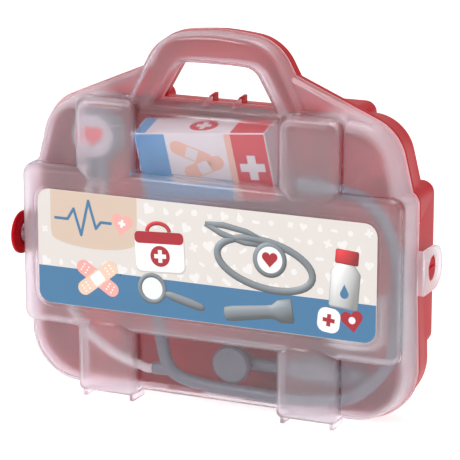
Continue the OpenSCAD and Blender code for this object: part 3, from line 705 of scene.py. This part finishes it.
# where each small picture stands on the card: across, up, then its turn and size
motif = {"glass": (-40, 89.5, -14, 0.9), "forceps": (2, 142, -12, 1.15), "torch": (45, 82, 9, 1.2),
         "headBand": (48, 117, -10, 1), "mirror": (52, 121, 0, 1), "bottle": (109, 111.5, -4, 1.15),
         "bottleDrop": (108.5, 104, 0, 1.45), "bag": (-34, 117, 3, 1.25), "bagHandle": (-35, 132, 3, 1.25),
         "plasters": (-84, 92), "tabHeart": (-64, 134.5, -8, 2.1), "tabPlus": (-64, 134.8, -8, 0.95),
         "badge": (97, 82.5, -6), "badgeHeart": (114.5, 84, 10, 2.1), "badgeDisc": (114.5, 84.4)}


# the number before the material of a picture, or at the end of a plate, is its layer above the card
def printPictures():
    # magnifying glass, forceps and a small torch
    grip = [(12, 1.6), (14, 2.6), (18, 3.4), (34, 3.8), (44, 3.3), (47, 1.8), (48, 0.3)]
    glass = [tubePart(loopPoints(11, 11), 1.9, closed=True), turnedPart(grip)]
    tools = [picture("glass", glass, motif["glass"], 6, toneGrey)]
    x, z, turn, size = motif["glass"]
    lens = plate("lens", turned(disc(0, 0, 9.5), x, z, 0, size), cardPale, 4)
    legWay, legThick = ((0, 0), (12, 2.8), (28, 3.6), (44, 1.2)), [1.5, 2, 1.8, 1.0]
    legs = [tubePart([(u, 0, s * v) for u, v in legWay], legThick) for s in (1, -1)]
    tools.append(picture("forceps", legs, motif["forceps"], 6, toneGrey))
    torch = [(-24, 0.5), (-23, 4.2), (-18, 4.8), (4, 4.2), (8, 4.4), (12, 7), (20, 7.6), (21, 6.4), (21, 0.5)]
    tools.append(picture("torch", [turnedPart(torch)], motif["torch"], 6, toneGrey))
    # head mirror: a grey band with a round white disc and a heart
    band = [tubePart(loopPoints(37, 17), 2.7, closed=True)]
    tools.append(picture("headBand", band, motif["headBand"], 6, toneGrey))
    rim = [tubePart(loopPoints(10, 10), 3, closed=True)]
    tools.append(picture("mirrorRim", rim, motif["mirror"], 9, toneGrey))
    joined("cardToolPictures", tools)
    x, z = motif["mirror"][:2]
    flats = [lens, plate("mirrorFace", disc(x, z, 9.6), cardWhite, 10),
             plate("mirrorHeart", turned(heartShape, x, z + 0.4, 0, 1.5), cardRed, 11)]
    # tall bottle with a red cap
    body = [(-17, 0.3), (-17, 8.6), (-15.5, 9.6), (6, 9.6), (10, 6.2), (11, 5.4), (12, 5.4), (12, 0.2)]
    cap = [(11, 0.3), (11, 7), (12, 7.6), (19, 7.6), (20, 6.8), (20, 0.2)]
    bottle = picture("bottle", [turnedPart(body, 90)], motif["bottle"], 6, toneWhite)
    bottleCap = picture("bottleCap", [turnedPart(cap, 90)], motif["bottle"], 7, toneRed)
    flats.append(plate("bottleDrop", turned(dropShape, *motif["bottleDrop"]), cardBlue, 9))

    # first-aid bag
    def onBag(points, u, v, size=1):
        x, z, turn, bagSize = motif["bag"]
        return turned(points, x + bagSize * u, z + bagSize * v, turn, bagSize * size)

    flats += [plate("bagShade", onBag(roundBox(31.8, 23.8, 4), 0.3, -0.5), cardShade, 4),
              plate("bagBody", onBag(roundBox(31, 23, 4), 0, 0), cardWhite, 5),
              plate("bagTop", onBag(roundBox(31, 7, 2.6), -0.4, 8.4), cardRed, 6),
              plate("bagDisc", onBag(disc(0, 0, 6.2), 0.4, -2.4), cardRed, 6),
              plate("bagPlus", onBag(plusShape, 0.4, -2.4, 1.25), cardWhite, 7)]
    handle = picture("bagHandle", [tubePart(loopPoints(7, 5, end=180), 1.2)], motif["bagHandle"], 6, toneRed)
    # crossed plasters, the second over the first
    x, z = motif["plasters"]
    for turn, mat, layer in ((-32, cardPink, 5), (38, cardSkin, 8)):
        flats.append(plate("plaster", turned(roundBar(38, 11), x, z, turn), mat, layer))
        flats.append(plate("pad", turned(roundBox(10, 9, 1.5), x, z, turn), cardPale, layer + 1))
        dots = [turned(disc(u, v, 0.7, 10), x, z, turn) for u in (-14, -10, 10, 14) for v in (-2.5, 0, 2.5)]
        flats += [plate("dot", d, cardWhite, layer + 1) for d in dots]
    # heartbeat line on the beige tab, ending in a heart
    beat = [(-118, 134), (-108, 134), (-103, 142), (-97, 123), (-91, 149), (-85, 129), (-81, 134), (-73, 134)]
    flats += strokes(beat, 2.1, cardBlue, 4)
    flats.append(plate("tabHeart", turned(heartShape, *motif["tabHeart"]), cardPink, 4))
    flats.append(plate("tabPlus", turned(plusShape, *motif["tabPlus"]), cardWhite, 5))
    # badges on the blue field, bare
    flats.append(plate("badgeWhite", turned(roundBox(17, 18, 6), *motif["badge"]), cardWhite, 4))
    flats.append(plate("badgePlus", turned(plusShape, *motif["badge"], 1.5), cardRed, 5))
    flats.append(plate("badgeHeart", turned(heartShape, *motif["badgeHeart"]), cardRed, 5))
    flats.append(plate("badgeDisc", disc(*motif["badgeDisc"], 2.6), cardWhite, 6))
    joined("cardBottle", [bottle])
    joined("cardReds", [bottleCap, handle])
    joined("cardFlats", flats)


# line of round-ended strokes, each a little above the last so that their overlaps don't flicker
def strokes(points, w, material, layer, rise=0.6):
    made = []
    for (x0, z0), (x1, z1) in zip(points, points[1:]):
        turn, l = atan2(z1 - z0, x1 - x0) * 180 / pi, sqrt((x1 - x0) ** 2 + (z1 - z0) ** 2) + w
        bar = turned(roundBar(l, w), (x0 + x1) / 2, (z0 + z1) / 2, turn)
        made.append(plate("stroke", bar, material, layer + rise * len(made)))
    return made


printFields()
printGround()
printPictures()
print("card printed")


# surface of revolution about Z, profile as (z, r)
def lathe(name, profile, n):
    verts, faces, rings = [], [], []
    for z, r in profile:
        if r == 0:
            rings.append([len(verts)])
            verts.append((0, 0, z))
        else:
            rings.append(list(range(len(verts), len(verts) + n)))
            verts += [(r * cos(2 * pi * j / n), r * sin(2 * pi * j / n), z) for j in range(n)]
    for low, high in zip(rings, rings[1:]):
        for j in range(n):
            k = (j + 1) % n
            if len(low) == 1:
                faces.append((low[0], high[j], high[k]))
            elif len(high) == 1:
                faces.append((low[j], low[k], high[0]))
            else:
                faces.append((low[j], low[k], high[k], high[j]))
    return meshPiece(name, verts, faces)


# hasps with softened edges; a web closes the hole to a shallow pocket
hasp = {"z": 115, "h": 32, "reach": 32, "t": 2, "stand": 5, "holeR": 9.8, "catchY": 13.5, "web": 0.8, "soft": 0.45,
        "rootX": 1.3, "rootY": 2.5}


def makeHasp(name, side, web, material, body, node):
    half, t = hasp["h"] / 2, hasp["t"]
    x = c["bandW"] / 2 + hasp["stand"] + t / 2
    rootX, rootY = c["bandW"] / 2 + hasp["rootX"] + t / 2, -(hasp["rootY"] + t / 2)
    near, far = rootY - t / 2, rootY + t / 2
    leaf = [(near, -half)] + arc(hasp["reach"] - half, 0, half, -90, 90, 40) + [(near, half)]
    whole = prismX(name, x - t / 2, x + t / 2, leaf)
    step = prismX(name, rootX, x, [(near, -half), (far, -half), (far, half), (near, half)])
    pin = lathe(name, [(-half, 0), (-half, t / 2), (half, t / 2), (half, 0)], 24)
    pin.data.transform(Matrix.Translation((rootX * mm, rootY * mm, 0)))
    whole = combine(whole, [step, pin], "UNION")
    deep = 1.5 * t - web if web else 2 * t
    hole = prismX(name, x - t, x - t + deep, disc(hasp["catchY"], 0, hasp["holeR"], 64))
    whole = combine(whole, [hole], "DIFFERENCE")
    if side < 0:
        whole.data.transform(Matrix.Rotation(pi, 4, "Z"))
    whole.data.transform(Matrix.Translation((0, -c["seamY"] * mm, hasp["z"] * mm)))
    whole.name = whole.data.name = name
    bevel(whole, hasp["soft"], 3, 40)
    whole.data.materials.clear()
    whole.data.materials.append(material)
    smoothByAngle(whole, 45)
    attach(whole, body)
    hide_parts(node)


makeHasp("rightHasp", 1, 0, frostedHasp, "right_hasp", "lid_hasp")
makeHasp("leftHasp", -1, hasp["web"], redPlastic, "left_hasp", "back_hasp")


# red plate round the right catch, with a rib across: it fills the view through the hasp's hole
catch = {"r": 8.8, "backR": 9.6, "backY": 6, "under": 0.6, "ribHalf": 0.8, "ribReach": 6, "ribTop": 0.9, "sunk": 1}


def makeCatch():
    k, y, leafX = catch, hasp["catchY"], c["bandW"] / 2 + hasp["stand"]
    outline = arc(y + k["backY"], 0, k["backR"], -90, 90, 24) + arc(y, 0, k["r"], 90, 270, 24)
    near, far, half = y - k["ribReach"], y + k["ribReach"], k["ribHalf"]
    bar = [(near, -half), (far, -half), (far, half), (near, half)]
    for name, ring, top, soft in (("catchPlate", outline, leafX - k["under"], 0.5),
                                  ("catchRib", bar, leafX + k["ribTop"], 0.3)):
        made = prismX(name, c["bandW"] / 2 - k["sunk"], top, ring, redPlastic)
        made.data.transform(Matrix.Translation((0, -c["seamY"] * mm, hasp["z"] * mm)))
        bevel(made, soft, 2, 40)
        smoothByAngle(made, 40)
        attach(made, "case_back")


makeCatch()
print("hasps made")

# stethoscope tubes
tubes = {"headR": 4.8, "softR": 3.4, "steps": 10, "sides": 28,
         "head": [(84, -9, 170), (112, -10, 166), (132, -12, 146), (140, -12, 118), (140, -12, 84), (134, -11, 50),
                  (108, -11, 22), (70, -11, 13), (30, -11, 13), (-10, -11, 14.4), (-36, -11, 23), (-44, -12, 50),
                  (-46, -14, 80), (-34, -16, 112), (-10, -17, 132), (24, -18, 136), (56, -18, 136)],
         "lowWay": (-1, 0, -0.05), "highWay": (-1, 0, 0.15), "socketL": 14, "stemEnd": (-98, -5, 159), "stemGap": 10,
         "tuck": 4.8, "straight": 8,  # how far the soft tubes sit in their sockets and run on straight
         "low": [(-84, -11, 30), (-106, -12, 46), (-122, -12, 72), (-126, -12, 104), (-118, -10, 136)],
         "high": [(-84, -12, 96), (-94, -9, 122)]}


def spline(points, steps):
    p = [Vector(q) for q in points]
    out = []
    for i in range(len(p) - 1):
        a, b, d, e = p[max(i - 1, 0)], p[i], p[i + 1], p[min(i + 2, len(p) - 1)]
        for k in range(steps):
            t = k / steps
            square, cube = 2 * a - 5 * b + 4 * d - e, 3 * b - a - 3 * d + e
            out.append(0.5 * (2 * b + (d - a) * t + square * t * t + cube * t ** 3))
    return out + [p[-1]]


def tubePiece(name, points, r, material, node):
    line = [(p.x, p.y - c["seamY"], p.z) for p in spline(points, tubes["steps"])]
    verts, faces = tubePart(line, r, tubes["sides"])
    piece = meshPiece(name, verts, faces, material)
    smoothByAngle(piece, 50)
    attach(piece, "case_back")
    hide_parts(node)


# course of a soft tube from the headset's socket at that point of its tube to a stem of the chest piece
def softPoints(index, way, middle, side):
    start, way = Vector(tubes["head"][index]), Vector(way).normalized()
    stem = Vector(tubes["stemEnd"]) + Vector((side * tubes["stemGap"] / 2, 0, 0))
    first = [tuple(start + way * (tubes["socketL"] + d)) for d in (-tubes["tuck"], 0, tubes["straight"])]
    return first + middle + [tuple(stem + Vector((0, 0, d))) for d in (-tubes["straight"], 0, tubes["tuck"])]


tubePiece("headsetTube", tubes["head"], tubes["headR"], greyPlastic, "headset")
lowWay, highWay = softPoints(10, tubes["lowWay"], tubes["low"], -1), softPoints(12, tubes["highWay"], tubes["high"], 1)
tubePiece("softTubeLow", lowWay, tubes["softR"], softClear, "soft_tube_low")
tubePiece("softTubeHigh", highWay, tubes["softR"], softClear, "soft_tube_high")
print("tubes made")

# carton, lying on its side behind the lid
carton = {"x": -11, "y": -18.4, "z": 203, "l": 104, "w": 54, "d": 25, "lean": 15, "tilt": 5, "soft": 0.7,
          "print": 0.05, "printDepth": 0.3, "margin": 0.8, "slotDeep": 0.6,
          # where the front's fields end from left to right, the foot of the white one, the end of the top's blue one
          "blueEnd": 25, "whiteEnd": 72, "beigeEnd": 77, "whiteFoot": 15, "topBlueEnd": 10}


def cartonPlace():
    k = carton
    turn = Matrix.Rotation(radians(-k["tilt"]), 4, "Y") @ Matrix.Rotation(radians(k["lean"]), 4, "X")
    shift = Matrix.Translation((-k["l"] / 2 * mm, 0, -k["w"] * mm))
    return Matrix.Translation((k["x"] * mm, (k["y"] - c["seamY"]) * mm, k["z"] * mm)) @ turn @ shift


# printed field on the carton's front or top, so many layers above the board
def cartonPrint(outline, face, material, layer):
    h, deep, w = carton["print"] * layer, carton["printDepth"], carton["w"]
    if face == "front":
        verts = [(u, -h, v) for u, v in outline] + [(u, deep, v) for u, v in outline]
    else:
        verts = [(u, v, w + h) for u, v in outline] + [(u, v, w - deep) for u, v in outline]
    return meshPiece("print", verts, prismFaces(len(outline)), material)


def corners(u0, v0, u1, v1):
    return [(u0, v0), (u1, v0), (u1, v1), (u0, v1)]


def makeCarton():
    k = carton
    body = slab("cartonBody", (0, 0, 0), (k["l"], k["d"], k["w"]))
    slot = slab("slot", (k["l"] - k["slotDeep"], 1.2, 1), (k["l"] + 1, 1.8, k["w"] - 1))
    combine(body, [slot], "DIFFERENCE")
    body.data.materials.clear()
    body.data.materials.append(boardWhite)
    bevel(body, k["soft"], 3, 40)
    smoothByAngle(body, 40)
    low, right, up, deep = k["margin"], k["l"] - k["margin"], k["w"] - k["margin"], k["d"] - k["margin"]
    sign = [(52 + 11 * cosd(a), 12.5 + 8 * sind(a)) for a in range(0, 360, 12)]
    fields = [(corners(low, low, k["blueEnd"], up), "front", boardBlue, 1),
              (corners(k["blueEnd"], low, k["whiteEnd"], k["whiteFoot"]), "front", boardBlue, 1),
              (corners(k["whiteEnd"], low, k["beigeEnd"], up), "front", boardBeige, 1),
              (corners(k["beigeEnd"], low, right, up), "front", boardRed, 1),
              (corners(k["beigeEnd"], low, right, deep), "top", boardRed, 1),
              (corners(low, low, k["topBlueEnd"], deep), "top", boardBlue, 1),
              (sign, "top", boardRed, 1),
              (turned(plusShape, 52, 12.5, 0, 1.9), "top", boardWhite, 2),
              (turned(plusShape, 90, 27, 0, 3.2), "front", boardWhite, 2)]
    for turn, u, v in ((-24, 44, 38), (20, 52, 27)):  # two plasters
        fields += [(turned(roundBar(34, 11), u, v, turn), "front", boardBeige, 2),
                   (turned(roundBox(9, 9, 1), u, v, turn), "front", boardWhite, 3)]
    prints = [cartonPrint(*field) for field in fields]
    for piece in [body] + prints:
        piece.data.transform(cartonPlace())
    joined("cartonPrint", prints, "case_back")
    body.name = body.data.name = "cartonBody"
    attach(body, "case_back")
    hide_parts("carton")


makeCarton()
print("carton made")

# finishes on the CAD nodes that stay
finishOf = [(redPlastic, ("back_hinge_eyes", "hinge_pins", "back_catch")),
            (frostedPlastic, ("lid_hinge_eyes", "lid_catch")),
            (cardPrint, ("label_card",)),
            (greyPlastic, ("headset_sockets", "ear_tip_low", "ear_tip_high", "chest_body", "thermometer",
                           "hammer_handle", "hammer_head", "ear_scope_handle", "ear_scope_head")),
            (chestWhite, ("chest_face",)),
            (whitePlastic, ("thermometer_panel", "pill_jar")),
            (pinkClear, ("syringe_barrel",)),
            (toyRed, ("chest_heart", "syringe_nozzle", "syringe_plunger", "pill_jar_lid"))]
for material, names in finishOf:
    for name in names:
        nodes[name].data.materials.clear()
        nodes[name].data.materials.append(material)
print("finishes given")

makeCamera()
makeStudio()
